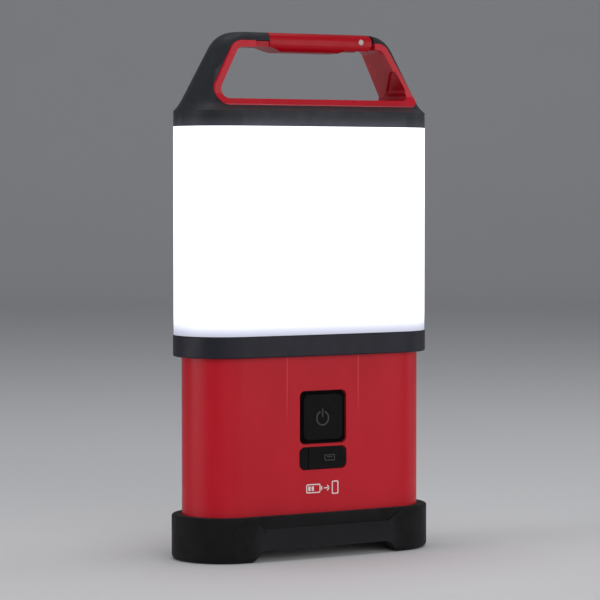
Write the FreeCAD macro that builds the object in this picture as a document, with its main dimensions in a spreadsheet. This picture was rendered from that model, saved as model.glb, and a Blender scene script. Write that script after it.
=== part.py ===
"""Battery camping lantern with a carabiner handle: one parametric document, one STEP file per piece.

Frame: origin at the centre of the footprint, X along the width, front towards -Y, +Z up, millimetres.
Every horizontal section is the same oval (round ends joined by slightly crowned sides), and each
ring, wall or plate is that oval grown or shrunk by an offset.
"""
import FreeCAD, Part
import math
import os

import Sketcher
from FreeCAD import Placement, Rotation, Vector

DIMENSIONS = {
    # the oval that the lower body is drawn on
    "end_centre": 51.0,
    "end_radius": 23.4,
    "side_radius": 1230.0,
    # offsets of each outer surface from that oval
    "boot_growth": 5.8,
    "lens_growth": 4.45,
    "collar_growth": 4.85,
    # heights of the visible seams
    "boot_top": 25.4,
    "collar_bottom": 114.2,
    "collar_top": 126.3,
    "lens_top": 243.0,
    "shoulder": 251.6,
    "top": 296.0,
    # walls and clearances
    "shell_wall": 2.4,
    "lens_wall": 2.4,
    "fit_gap": 0.1,
    "moving_gap": 0.3,
    # base
    "boot_flange": 7.0,
    "flange_thick": 2.4,
    "boot_opening": 2.6,
    "arch_rise": 6.8,
    "arch_half": 41.5,
    "arch_run": 6.5,
    "band_rise": 18.4,
    "band_half": 41.0,
    "band_run": 10.5,
    "band_depth": 1.6,
    # battery compartment
    "cell_radius": 16.9,
    "cell_pocket": 17.4,
    "cell_pitch": 34.4,
    "cell_back": 2.6,
    "cell_height": 61.3,
    "door_thick": 2.8,
    "plate_thick": 0.4,
    "spring_height": 2.5,
    "roof_thick": 2.5,
    "cage_front": 13.4,
    "boss_out": 34.4,
    "door_boss_front": 11.5,
    "cage_boss_back": 16.9,
    # controls
    "button_height": 79.3,
    "button_recess": 30.6,
    "button_face": 25.5,
    "button_travel": 1.2,
    "flap_height": 56.2,
    "flap_width": 31.1,
    "flap_tall": 13.0,
    "flap_hinge": 10.0,
    "board_front": 16.6,
    "board_thick": 1.6,
    "board_bottom": 61.0,
    "board_top": 108.0,
    # light column
    "column_half": 60.0,
    "column_thick": 3.0,
    "foot_half": 17.5,
    "tie_out": 48.0,
    "tie_side": 14.5,
    # handle
    "end_slope": 0.566,
    "corner_radius": 18.0,
    "crown_radius": 5.0,
    "neck_half": 15.5,
    "neck_taper": 0.131,
    "flare_rise": 7.0,
    "grip_half": 9.8,
    "grip_bottom": 285.0,
    "nose_bottom": 291.3,
    "lip_width": 3.8,
    "lip_bottom": 254.7,
    "lip_half_bottom": 70.2,
    "lip_slope": 0.57,
    "nose_end": 26.7,
    "tongue_end": 35.5,
    "hinge_gap": 42.8,
    "pin_out": 34.1,
    "pin_height": 291.7,
    "pin_radius": 1.3,
    "dish_floor": 6.5,
    "dish_depth": 2.1,
    "dish_back": 6.5,
    "running_gap": 0.05,
}

doc = FreeCAD.newDocument("lantern")
sheet = doc.addObject("Spreadsheet::Sheet", "Dimensions")
for row, (alias, size) in enumerate(DIMENSIONS.items(), start=1):
    sheet.set(f"A{row}", alias)
    sheet.set(f"B{row}", str(size))
    sheet.setAlias(f"B{row}", alias)
doc.recompute()


class Length:
    """A size that carries its value and the sheet expression that it comes from."""

    def __init__(self, value, text):
        self.value = value
        self.text = text

    @staticmethod
    def of(other):
        return other if isinstance(other, Length) else Length(float(other), repr(float(other)))

    def __add__(self, other):
        other = Length.of(other)
        return Length(self.value + other.value, f"({self.text} + {other.text})")

    def __sub__(self, other):
        other = Length.of(other)
        return Length(self.value - other.value, f"({self.text} - {other.text})")

    def __mul__(self, other):
        other = Length.of(other)
        return Length(self.value * other.value, f"({self.text} * {other.text})")

    def __truediv__(self, other):
        other = Length.of(other)
        return Length(self.value / other.value, f"({self.text} / {other.text})")

    def __neg__(self):
        return Length(-self.value, f"(-1 * {self.text})")

    __radd__ = __add__
    __rmul__ = __mul__

    def __rsub__(self, other):
        return Length.of(other) - self

    def root(self):
        return Length(math.sqrt(self.value), f"sqrt({self.text})")


class Sizes:
    """Every alias of the sheet as a Length, such as d.shell_wall."""

    def __init__(self):
        for alias in DIMENSIONS:
            setattr(self, alias, Length(DIMENSIONS[alias], f"Dimensions.{alias}"))


d = Sizes()
pieces = []


def keep(piece, name):
    """Name a finished sub-part and put it in the list that is written out."""
    piece.Label = name
    piece.Placement = Placement()
    pieces.append(piece)
    return piece


def bind(thing, prop, length):
    length = Length.of(length)
    thing.setExpression(prop, length.text)


# ---------------------------------------------------------------- sketches and features


def new_body(name):
    return doc.addObject("PartDesign::Body", name)


def new_sketch(body, name, role, away):
    """A sketch on one of the body's own origin planes, moved off it by a bound distance."""
    sketch = body.newObject("Sketcher::SketchObject", name)
    plane = [f for f in body.Origin.OriginFeatures if f.Role == role][0]
    sketch.AttachmentSupport = [(plane, "")]
    sketch.MapMode = "FlatFace"
    away = Length.of(away)
    sketch.AttachmentOffset = Placement(Vector(0, 0, away.value), Rotation())
    bind(sketch, "AttachmentOffset.Base.z", away)
    return sketch


def bound(sketch, length, kind, *where):
    """Add one dimensional constraint and bind it."""
    length = Length.of(length)
    index = sketch.addConstraint(Sketcher.Constraint(kind, *where, length.value))
    bind(sketch, f"Constraints[{index}]", length)


def draw_oval(sketch, centre, end, side):
    """Two round ends at +-centre joined by two shallow arcs, all tangent."""
    drop = math.sqrt((side.value - end.value) ** 2 - centre.value**2)
    lean = math.atan2(drop, centre.value)
    up = Vector(0, 0, 1)
    arcs = (
        (Vector(centre.value, 0, 0), end.value, -lean, lean),
        (Vector(0, -drop, 0), side.value, lean, math.pi - lean),
        (Vector(-centre.value, 0, 0), end.value, math.pi - lean, math.pi + lean),
        (Vector(0, drop, 0), side.value, math.pi + lean, 2 * math.pi - lean),
    )
    ids = [sketch.addGeometry(Part.ArcOfCircle(Part.Circle(c, up, r), a, b), False) for c, r, a, b in arcs]
    for here, there in zip(ids, ids[1:] + ids[:1]):
        sketch.addConstraint(Sketcher.Constraint("Tangent", here, 2, there, 1))
    for arc, sign in ((ids[0], 1), (ids[2], -1)):
        bound(sketch, centre * sign, "DistanceX", -1, 1, arc, 3)
        bound(sketch, end, "Radius", arc)
        sketch.addConstraint(Sketcher.Constraint("PointOnObject", arc, 3, -1))
    for arc in (ids[1], ids[3]):
        bound(sketch, side, "Radius", arc)


def oval_sketch(body, name, growth, height):
    """The lantern's oval, grown outwards by growth, at a height."""
    sketch = new_sketch(body, name, "XY_Plane", height)
    draw_oval(sketch, d.end_centre, d.end_radius + growth, d.side_radius + growth)
    return sketch


def draw_outline(sketch, corners):
    """A closed outline through corners (x, y, radius); a corner with radius 0 is sharp."""
    count = len(corners)
    at = [Vector(Length.of(x).value, Length.of(y).value, 0) for x, y, r in corners]
    radii = [Length.of(r) for x, y, r in corners]
    ends = []
    for i in range(count):
        before = (at[i - 1] - at[i]).normalize()
        after = (at[(i + 1) % count] - at[i]).normalize()
        half = before.getAngle(after) / 2
        trim = radii[i].value / math.tan(half)
        ends.append((at[i] + before * trim, at[i] + after * trim, before, after, half))
    lines = []
    for i in range(count):
        start = ends[i][1]
        stop = ends[(i + 1) % count][0]
        lines.append(sketch.addGeometry(Part.LineSegment(start, stop), False))
    for i in range(count):
        x, y, r = corners[i]
        arriving, leaving = lines[i - 1], lines[i]
        if radii[i].value == 0:
            sketch.addConstraint(Sketcher.Constraint("Coincident", arriving, 2, leaving, 1))
            bound(sketch, x, "DistanceX", -1, 1, leaving, 1)
            bound(sketch, y, "DistanceY", -1, 1, leaving, 1)
            continue
        first, last, before, after, half = ends[i]
        centre = at[i] + (before + after).normalize() * (radii[i].value / math.sin(half))
        middle = centre + (at[i] - centre).normalize() * radii[i].value
        arc = sketch.addGeometry(Part.Arc(first, middle, last), False)
        curve = sketch.Geometry[arc]
        begins = 1 if (curve.StartPoint - first).Length < (curve.EndPoint - first).Length else 2
        sketch.addConstraint(Sketcher.Constraint("Tangent", arriving, 2, arc, begins))
        sketch.addConstraint(Sketcher.Constraint("Tangent", leaving, 1, arc, 3 - begins))
        bound(sketch, r, "Radius", arc)
        corner = sketch.addGeometry(Part.Point(at[i]), True)
        sketch.addConstraint(Sketcher.Constraint("PointOnObject", corner, 1, arriving))
        sketch.addConstraint(Sketcher.Constraint("PointOnObject", corner, 1, leaving))
        bound(sketch, x, "DistanceX", -1, 1, corner, 1)
        bound(sketch, y, "DistanceY", -1, 1, corner, 1)


def draw_rectangle(sketch, x0, x1, y0, y1, radius=0):
    draw_outline(sketch, [(x0, y0, radius), (x1, y0, radius), (x1, y1, radius), (x0, y1, radius)])


def draw_circle(sketch, x, y, radius):
    x, y, radius = Length.of(x), Length.of(y), Length.of(radius)
    circle = Part.Circle(Vector(x.value, y.value, 0), Vector(0, 0, 1), radius.value)
    index = sketch.addGeometry(circle, False)
    bound(sketch, x, "DistanceX", -1, 1, index, 3)
    bound(sketch, y, "DistanceY", -1, 1, index, 3)
    bound(sketch, radius, "Radius", index)


def pad(body, sketch, length, both=False, back=False):
    """Grow material from a sketch: along its normal, against it (back) or half each way (both)."""
    feature = body.newObject("PartDesign::Pad", f"{sketch.Name}_pad")
    feature.Profile = sketch
    feature.Midplane = both
    feature.Reversed = back
    bind(feature, "Length", length)
    sketch.Visibility = False
    return feature


def pocket(body, sketch, length, both=False, back=False):
    """Cut material away; a plain pocket cuts against the sketch's normal."""
    feature = body.newObject("PartDesign::Pocket", f"{sketch.Name}_cut")
    feature.Profile = sketch
    feature.Midplane = both
    feature.Reversed = back
    bind(feature, "Length", length)
    return feature


def oval_pad(body, name, growth, low, high):
    """A solid oval block between two heights."""
    return pad(body, oval_sketch(body, name, growth, low), Length.of(high) - low)


def oval_cut(body, name, growth, low, high):
    """An oval hole between two heights."""
    return pocket(body, oval_sketch(body, name, growth, high), Length.of(high) - low)


def front_sketch(body, name, y):
    """A sketch on a plane that faces the front; its x is X and its y is Z. The XZ plane's normal is -Y."""
    return new_sketch(body, name, "XZ_Plane", -Length.of(y))


def box_pad(body, name, x0, x1, y0, y1, z0, z1, radius=0):
    """A block drawn as a rectangle seen from the front and grown towards the back."""
    sketch = front_sketch(body, name, y0)
    draw_rectangle(sketch, x0, x1, z0, z1, radius)
    return pad(body, sketch, Length.of(y1) - y0, back=True)


def box_cut(body, name, x0, x1, y0, y1, z0, z1, radius=0):
    """A rectangular hole seen from the front."""
    sketch = front_sketch(body, name, y0)
    draw_rectangle(sketch, x0, x1, z0, z1, radius)
    return pocket(body, sketch, Length.of(y1) - y0)


def post_pad(body, name, places, radius, low, high):
    """Upright round posts, all of one radius."""
    sketch = new_sketch(body, name, "XY_Plane", low)
    for x, y in places:
        draw_circle(sketch, x, y, radius)
    return pad(body, sketch, Length.of(high) - low)


def post_cut(body, name, places, radius, low, high):
    """Upright round holes, all of one radius."""
    sketch = new_sketch(body, name, "XY_Plane", high)
    for x, y in places:
        draw_circle(sketch, x, y, radius)
    return pocket(body, sketch, Length.of(high) - low)


def soften(body, name, radius, chosen):
    """Round those edges of the body's latest feature whose box is chosen."""
    doc.recompute()
    base = body.Tip
    edges = [f"Edge{i}" for i, edge in enumerate(base.Shape.Edges, start=1) if chosen(edge.BoundBox)]
    fillet = body.newObject("PartDesign::Fillet", name)
    fillet.Base = (base, edges)
    fillet.Radius = radius
    doc.recompute()


def screw_shape(x, y, head_low, head_high, tip, shank, head):
    """One pan-head screw standing upright, its drive slot cut across the head."""
    head_solid = Part.makeCylinder(head, head_high - head_low, Vector(x, y, head_low))
    length = abs(tip - (head_low if tip < head_low else head_high))
    start = tip if tip < head_low else head_high
    solid = head_solid.fuse(Part.makeCylinder(shank, length, Vector(x, y, start)))
    deep = 0.4 * (head_high - head_low)
    slot_low = head_high - deep if tip < head_low else head_low
    slot = Part.makeBox(2.4 * head, 0.8, deep, Vector(x - 1.2 * head, y - 0.4, slot_low))
    return solid.cut(slot).removeSplitter()


def keep_shape(name, shape):
    """A sub-part whose shape is set directly."""
    feature = doc.addObject("Part::Feature", name)
    feature.Shape = shape
    return keep(feature, name)


def four(x, y):
    return [(x * i, y * j) for i in (-1, 1) for j in (-1, 1)]


TIES = four(d.tie_out, d.tie_side)
SHELL_FLOOR = d.boot_flange + d.flange_thick + d.fit_gap
DOOR_TOP = d.boot_flange + d.door_thick
CELL_FLOOR = DOOR_TOP + d.plate_thick
ROOF = CELL_FLOOR + d.cell_height + d.spring_height + d.plate_thick
FRONT = -(d.side_radius - ((d.side_radius - d.end_radius) * (d.side_radius - d.end_radius)
                           - d.end_centre * d.end_centre).root())
INNER_FRONT = FRONT + d.shell_wall
RIM = d.collar_bottom + 3.1
DECK = d.collar_bottom + 6.1
FAR = Length.of(100)


# ---------------------------------------------------------------- base


def base_boot():
    """Rubber boot round the foot of the shell, arched front and back so that it stands on its ends."""
    body = new_body("base_boot_body")
    oval_pad(body, "boot_block", d.boot_growth, 0, d.boot_top)
    soften(body, "boot_round_low", 3.0, lambda box: box.ZMax < 1)
    soften(body, "boot_round_high", 1.2, lambda box: box.ZMin > d.boot_top.value - 0.1)
    oval_cut(body, "boot_hole", d.fit_gap, SHELL_FLOOR - d.fit_gap, d.boot_top + 1)
    oval_cut(body, "boot_mouth", -d.boot_opening, -1, SHELL_FLOOR)
    arch = front_sketch(body, "boot_arch", -FAR)
    foot = d.arch_half + d.arch_run
    draw_outline(arch, [
        (-foot - 8, -8, 0), (foot + 8, -8, 0), (foot, 0, 0),
        (d.arch_half, d.arch_rise, 6), (-d.arch_half, d.arch_rise, 6), (-foot, 0, 0),
    ])
    pocket(body, arch, FAR * 2)
    top = d.band_half + d.band_run
    for name, y, back in (("boot_band_front", FRONT - d.boot_growth + d.band_depth, True),
                          ("boot_band_back", -(FRONT - d.boot_growth + d.band_depth), False)):
        band = front_sketch(body, name, y)
        draw_outline(band, [
            (-d.band_half, d.band_rise, 4), (d.band_half, d.band_rise, 4),
            (top, d.boot_top + 1, 0), (-top, d.boot_top + 1, 0),
        ])
        pocket(body, band, 20, back=back)
    return keep(body, "base_boot")


def battery_door():
    """Lid of the battery compartment, flush inside the boot, with a groove for its gasket."""
    body = new_body("battery_door_body")
    edge = -(d.boot_opening + 0.7)
    oval_pad(body, "door_plate", edge, d.boot_flange + 0.1, DOOR_TOP)
    ring = oval_sketch(body, "door_groove", edge + 1, d.boot_flange + 1.9)
    draw_oval(ring, d.end_centre, d.end_radius + edge - 1.1, d.side_radius + edge - 1.1)
    pocket(body, ring, 1)
    screws = [(-d.boss_out, -d.door_boss_front), (d.boss_out, -d.door_boss_front)]
    post_cut(body, "door_head_seats", screws, 5.4, d.boot_flange, d.boot_flange + 1.7)
    post_cut(body, "door_screw_holes", screws, 2.1, d.boot_flange, DOOR_TOP + 1)
    return keep(body, "battery_door")


def door_gasket():
    body = new_body("door_gasket_body")
    edge = -(d.boot_opening + 0.7)
    oval_pad(body, "gasket_outer", edge + 0.4, d.boot_flange + 0.95, d.boot_flange + 1.85)
    oval_cut(body, "gasket_inner", edge - 1.05, d.boot_flange, d.boot_flange + 3)
    return keep(body, "door_gasket")


def door_screw(name, side):
    """Captive coin screw of the door; its slot takes a coin."""
    x = side * DIMENSIONS["boss_out"]
    y = -DIMENSIONS["door_boss_front"]
    low = d.boot_flange.value + 0.2
    solid = screw_shape(x, y, low, low + 1.4, 27.0, 1.7, 5.0)
    return keep_shape(name, solid)


# ---------------------------------------------------------------- lower body


def body_shell():
    """Lower housing: an open oval tube with the button window, the port recess and screw posts."""
    body = new_body("body_shell_body")
    rim = RIM - 1
    oval_pad(body, "shell_block", Length.of(0), SHELL_FLOOR, rim)
    oval_cut(body, "shell_hollow", -d.shell_wall, 0, rim + 1)
    # thick land behind the port cover
    box_pad(body, "shell_port_land", -17, 17, INNER_FRONT - 0.5, INNER_FRONT + 1.2,
            d.flap_height - 8, d.flap_height + 8, 2)
    # posts for the control board
    for side in (-1, 1):
        for level, height in enumerate((d.board_bottom + 5, d.board_top - 4)):
            sketch = front_sketch(body, f"shell_board_post_{side + 1}{level}", INNER_FRONT - 0.5)
            draw_circle(sketch, 28 * side, height, 2.6)
            pad(body, sketch, -d.board_front - INNER_FRONT + 0.5, back=True)
            hole = front_sketch(body, f"shell_board_hole_{side + 1}{level}", INNER_FRONT + 1)
            draw_circle(hole, 28 * side, height, 1.05)
            pocket(body, hole, 8)
    # posts that carry the battery cage, and their webs to the rear wall
    cage_posts = [(d.boss_out * i, d.cage_boss_back) for i in (-1, 0, 1)]
    post_pad(body, "shell_cage_posts", cage_posts, 2.9, 30, ROOF - d.fit_gap)
    for i in (-1, 0, 1):
        box_pad(body, f"shell_cage_web_{i + 1}", d.boss_out * i - 1, d.boss_out * i + 1,
                d.cage_boss_back + 1.5, -INNER_FRONT - 0.2, 30, ROOF - d.fit_gap)
    post_cut(body, "shell_cage_holes", cage_posts, 1.2, 55, ROOF + 1)
    # posts under the collar, with webs to the nearer wall
    post_pad(body, "shell_tie_posts", TIES, 3.6, 88, rim)
    for i, (x, y) in enumerate(TIES):
        side = 1 if y.value > 0 else -1
        near, far = sorted((y + 2.5 * side, -INNER_FRONT * side - 0.6 * side), key=lambda v: v.value)
        box_pad(body, f"shell_tie_web_{i}", x - 1.2, x + 1.2, near, far, 88, rim)
    post_cut(body, "shell_tie_holes", TIES, 1.6, 92, rim + 1)
    # button window: a shallow recess and a through hole
    half = d.button_recess / 2
    box_cut(body, "shell_button_recess", -half, half, FRONT - 2, FRONT + 1.4,
            d.button_height - half, d.button_height + half, 3.4)
    box_cut(body, "shell_button_hole", -13.5, 13.5, FRONT - 2, FRONT + 4,
            d.button_height - 13.5, d.button_height + 13.5, 2.6)
    # port recess and the hole behind it
    wide, tall = d.flap_width / 2, d.flap_tall / 2
    box_cut(body, "shell_port_recess", -wide, wide, FRONT - 2, FRONT + 2,
            d.flap_height - tall, d.flap_height + tall, 3.4)
    box_cut(body, "shell_port_hole", -6.9, 6.9, FRONT - 2, FRONT + 6,
            d.flap_height - 3.3, d.flap_height + 3.3, 0.6)
    return keep(body, "body_shell")


def battery_cage():
    """Open-fronted carrier with four round pockets in a row under a flat roof."""
    body = new_body("battery_cage_body")
    edge = -(d.shell_wall + 0.2)
    oval_pad(body, "cage_block", edge, DOOR_TOP + 0.8, ROOF + d.roof_thick)
    cells = [(d.cell_pitch * (i - 1.5), d.cell_back) for i in range(4)]
    for i in range(4):
        post_cut(body, f"cage_pocket_{i}", [cells[i]], d.cell_pocket, 0, ROOF)
    # room for the contact plate that bridges the middle pair of cells
    box_cut(body, "cage_plate_room", -6, 6, d.cell_back - 6.8, d.cell_back + 6.8, ROOF - d.plate_thick - 0.1, ROOF)
    # open front, leaving the roof back to the control board
    box_cut(body, "cage_open_front", -90, 90, -60, -d.cage_front, 0, ROOF + d.roof_thick + 1)
    box_cut(body, "cage_port_window", -8.2, 8.2, -60, -10.6, d.flap_height - 7, d.flap_height + 6)
    bosses = [(-d.boss_out, -d.door_boss_front), (d.boss_out, -d.door_boss_front)]
    post_pad(body, "cage_door_bosses", bosses, 4.2, DOOR_TOP + 0.8, 40)
    post_cut(body, "cage_door_holes", bosses, Length.of(1.7) + d.running_gap, 0, 30)
    posts = [(d.boss_out * i, d.cage_boss_back) for i in (-1, 0, 1)]
    for i in (-1, 0, 1):
        x = d.boss_out * i
        box_cut(body, f"cage_post_slot_{i + 1}", x - 3.3, x + 3.3, d.cage_boss_back - 3.3, 60, 0, ROOF)
    post_cut(body, "cage_screw_holes", posts, 1.6, ROOF - 1, ROOF + d.roof_thick + 1)
    return keep(body, "battery_cage")


def battery_cell(index):
    """A D-size cell; every other one stands on its nose."""
    x = (index - 1.5) * DIMENSIONS["cell_pitch"]
    nose_up = index % 2 == 0
    floor = CELL_FLOOR.value + (d.spring_height.value if nose_up else 0)
    can_height = d.cell_height.value - 1.5
    name = f"battery_cell_{index + 1}"
    can = doc.addObject("Part::Cylinder", f"{name}_can")
    bind(can, "Radius", d.cell_radius)
    bind(can, "Height", d.cell_height - 1.5)
    can.Placement.Base = Vector(x, d.cell_back.value, floor + (0 if nose_up else 1.5))
    nose = doc.addObject("Part::Cylinder", f"{name}_nose")
    nose.Radius = 4.75
    nose.Height = 1.5
    nose.Placement.Base = Vector(x, d.cell_back.value, floor + (can_height if nose_up else 0))
    cell = doc.addObject("Part::Fuse", name + "_whole")
    cell.Base = can
    cell.Tool = nose
    return keep(cell, name)


def contact_plates(name, low, pairs):
    """Flat bridging contacts, each reaching over one or two cells."""
    shapes = []
    for first, last in pairs:
        x0 = (first - 1.5) * d.cell_pitch.value - 6.5
        x1 = (last - 1.5) * d.cell_pitch.value + 6.5
        shapes.append(Part.makeBox(x1 - x0, 13, d.plate_thick.value,
                                   Vector(x0, d.cell_back.value - 6.5, low.value)))
    return keep_shape(name, Part.makeCompound(shapes))


def contact_springs(name, plate, cells, hanging):
    """Conical coil springs at their working height, widest where they are fixed to the contact plate."""
    shapes = []
    wire = 0.45
    rise = d.spring_height.value - 2 * wire
    cone_angle = -22
    for i in cells:
        spiral = Part.Wire(Part.makeHelix(rise / 2.5, rise, 6.4, cone_angle).Edges)
        first = spiral.Edges[0]
        along = first.tangentAt(first.FirstParameter)
        ring = Part.Wire(Part.makeCircle(wire, first.Vertexes[0].Point, along))
        coil = spiral.makePipeShell([ring], True, True)
        if hanging:
            coil.rotate(Vector(), Vector(1, 0, 0), 180)
        stand = -wire if hanging else wire
        x = (i - 1.5) * d.cell_pitch.value
        coil.translate(Vector(x, d.cell_back.value, plate.value + stand))
        shapes.append(coil)
    return keep_shape(name, Part.makeCompound(shapes))


def cage_screws():
    low = (ROOF + d.roof_thick).value
    shapes = [screw_shape(i * d.boss_out.value, d.cage_boss_back.value, low, low + 1.8, low - 14, 1.2, 2.6)
              for i in (-1, 0, 1)]
    return keep_shape("cage_screws", Part.makeCompound(shapes))


# ---------------------------------------------------------------- controls


def button_frame():
    """Rubber frame that lines the button window."""
    body = new_body("button_frame_body")
    z = d.button_height
    box_pad(body, "frame_flange", -14.85, 14.85, FRONT + 0.7, FRONT + 1.4, z - 14.85, z + 14.85, 3.3)
    box_pad(body, "frame_tube", -13.4, 13.4, FRONT + 0.7, INNER_FRONT, z - 13.4, z + 13.4, 2.5)
    box_cut(body, "frame_hole", -13.05, 13.05, FRONT - 1, INNER_FRONT + 1, z - 13.05, z + 13.05, 2.9)
    return keep(body, "button_frame")


def power_button():
    """Square push cap with a hidden flange and a stem over the switch."""
    body = new_body("power_button_body")
    z = d.button_height
    half = d.button_face / 2
    face = FRONT - 0.2
    box_pad(body, "button_cap", -half, half, face, INNER_FRONT + 0.5, z - half, z + half, 2.8)
    soften(body, "button_soft_edge", 0.7, lambda box: box.YMax < face.value + 0.1)
    box_pad(body, "button_flange", -13.7, 13.7, INNER_FRONT + 0.4, INNER_FRONT + 1.2, z - 13.7, z + 13.7, 3)
    stem = front_sketch(body, "button_stem", INNER_FRONT + 1)
    draw_circle(stem, 0, z + 3, 2)
    pad(body, stem, 0.7, back=True)
    return keep(body, "power_button")


def usb_cover():
    """Rubber port cover: the part right of its hinge groove, which swings open."""
    body = new_body("usb_cover_body")
    wide, tall = d.flap_width / 2 - 0.3, d.flap_tall / 2 - 0.3
    left = -d.flap_hinge + 0.3
    z = d.flap_height
    sketch = front_sketch(body, "cover_leaf", FRONT - 0.5)
    draw_outline(sketch, [(left, z - tall, 0), (wide, z - tall, 4.6), (wide, z + tall, 4.6), (left, z + tall, 0)])
    pad(body, sketch, 1.9, back=True)
    soften(body, "cover_soft_edge", 0.5, lambda box: box.YMax < (FRONT - 0.4).value)
    # finger scoop at the free end
    scoop = front_sketch(body, "cover_scoop", FRONT - 0.5)
    draw_circle(scoop, wide + 1.6, z, 3.6)
    pocket(body, scoop, 0.9)
    return keep(body, "usb_cover")


def usb_cover_anchor():
    """The fixed end of the port cover, left of the hinge groove, plugged into the shell."""
    body = new_body("usb_cover_anchor_body")
    wide, tall = d.flap_width / 2 - 0.1, d.flap_tall / 2 - 0.1
    right = -d.flap_hinge - 0.3
    z = d.flap_height
    sketch = front_sketch(body, "anchor_leaf", FRONT - 0.5)
    draw_outline(sketch, [(-wide, z - tall, 3.2), (right, z - tall, 0), (right, z + tall, 0), (-wide, z + tall, 3.2)])
    pad(body, sketch, 2.5, back=True)
    soften(body, "anchor_soft_edge", 0.5, lambda box: box.YMax < (FRONT - 0.4).value)
    return keep(body, "usb_cover_anchor")


def usb_socket():
    """Metal shell of the charging socket with its insulating tongue."""
    body = new_body("usb_socket_body")
    z = d.flap_height
    front = FRONT + 2.1
    back = -11.8
    box_pad(body, "socket_shell", -6.6, 6.6, front, back, z - 2.95, z + 2.95, 0.5)
    box_cut(body, "socket_mouth", -6.1, 6.1, front - 1, back - 0.6, z - 2.45, z + 2.45, 0.3)
    box_pad(body, "socket_tongue", -5.2, 5.2, front + 1, back - 0.4, z + 0.4, z + 2.0)
    return keep(body, "usb_socket")


def usb_board():
    z = d.flap_height - 3.05
    body = new_body("usb_board_body")
    box_pad(body, "port_board", -7, 7, FRONT + 3.6, -11.6, z - 1, z)
    return keep(body, "usb_board")


def control_board():
    """Upright circuit board behind the button."""
    body = new_body("control_board_body")
    box_pad(body, "board_sheet", -32, 32, -d.board_front, -d.board_front + d.board_thick,
            d.board_bottom, d.board_top, 1)
    for side in (-1, 1):
        for level, height in enumerate((d.board_bottom + 5, d.board_top - 4)):
            hole = front_sketch(body, f"board_hole_{side + 1}{level}", -d.board_front - 1)
            draw_circle(hole, 28 * side, height, 1.3)
            pocket(body, hole, 5)
    return keep(body, "control_board")


def board_screws():
    shapes = []
    back = -d.board_front.value + d.board_thick.value
    for side in (-1, 1):
        for z in (d.board_bottom.value + 5, d.board_top.value - 4):
            screw = screw_shape(0, 0, 0, 1.3, -5.5, 1.0, 2.1)
            screw.rotate(Vector(), Vector(1, 0, 0), -90)
            screw.translate(Vector(28 * side, back, z))
            shapes.append(screw)
    return keep_shape("board_screws", Part.makeCompound(shapes))


def tact_switch():
    """Small push switch on the board, under the button's stem."""
    z = d.button_height.value + 3
    front = -d.board_front.value
    base = Part.makeBox(6, 1.8, 6, Vector(-3, front - 1.8, z - 3))
    plunger = Part.makeCylinder(1.7, 0.7, Vector(0, front - 2.5, z), Vector(0, 1, 0))
    return keep_shape("tact_switch", base.fuse(plunger).removeSplitter())


def board_parts():
    """Coil, capacitors, driver chip and connector on the back of the control board."""
    back = -d.board_front.value + d.board_thick.value
    to_rear = Vector(0, 1, 0)
    coil = Part.makeCylinder(5, 5, Vector(-18, back, 96), to_rear)
    coil = coil.cut(Part.makeCylinder(2, 2, Vector(-18, back + 3, 96), to_rear))
    caps = [Part.makeCylinder(4, 11, Vector(18, back, z), to_rear) for z in (86, 97)]
    chip = Part.makeBox(6, 1.6, 5, Vector(-4, back, 86))
    plug = Part.makeBox(8, 5, 5, Vector(-4, back, 101))
    return keep_shape("board_parts", Part.makeCompound([coil, *caps, chip, plug]))


# ---------------------------------------------------------------- collar, lens and light column


def collar_ring():
    """Black ring between housing and lens: a skirt, a deck and a rim that holds the lens."""
    body = new_body("collar_ring_body")
    oval_pad(body, "collar_block", d.collar_growth, d.collar_bottom, d.collar_top)
    soften(body, "collar_round", 0.8, lambda box: box.ZLength < 0.1)
    oval_cut(body, "collar_skirt", d.fit_gap, d.collar_bottom - 1, RIM)
    oval_cut(body, "collar_bore", Length.of(-9), d.collar_bottom, d.collar_top)
    oval_cut(body, "collar_lens_seat", d.lens_growth - 1.1, DECK, d.collar_top + 1)
    # ears that carry the tie screws across the bore
    for i, (x, y) in enumerate(TIES):
        side = 1 if y.value > 0 else -1
        near, far = sorted((y - 4 * side, y + 6 * side), key=lambda v: v.value)
        box_pad(body, f"collar_ear_{i}", x - 4.5, x + 4.5, near, far, RIM, DECK, 1)
    post_cut(body, "collar_tie_holes", TIES, 1.7, RIM - 1, DECK + 1)
    return keep(body, "collar_ring")


def oval_ring(name, outer, inner, low, high):
    """A plain oval ring."""
    body = new_body(f"{name}_body")
    oval_pad(body, f"{name}_block", outer, low, high)
    oval_cut(body, f"{name}_bore", inner, Length.of(low) - 1, Length.of(high) + 1)
    return keep(body, name)


def lens():
    """Frosted diffuser: one oval tube with a thin spigot at each end."""
    body = new_body("lens_body")
    inner = d.lens_growth - d.lens_wall
    spigot = d.lens_growth - 1.2
    oval_pad(body, "lens_block", d.lens_growth, d.collar_top, d.lens_top)
    oval_pad(body, "lens_low_spigot", spigot, DECK + 1, d.collar_top)
    oval_pad(body, "lens_high_spigot", spigot, d.lens_top, d.lens_top + 6)
    oval_cut(body, "lens_bore", inner, 0, d.top)
    return keep(body, "lens")


PLATE_LOW = DECK + 0.3
FOOT_LOW = PLATE_LOW + 1.6
PLATE_HIGH = d.lens_top - 1.6


def reflector(name, low):
    """White plate that closes one end of the light chamber."""
    body = new_body(f"{name}_body")
    oval_pad(body, f"{name}_sheet", d.lens_growth - d.lens_wall - 0.4, low, low + 1.5)
    post_cut(body, f"{name}_tie_holes", TIES, 1.8, low - 1, low + 2)
    post_cut(body, f"{name}_cable_hole", [(0, -12)], 4, low - 1, low + 2)
    return keep(body, name)


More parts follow.
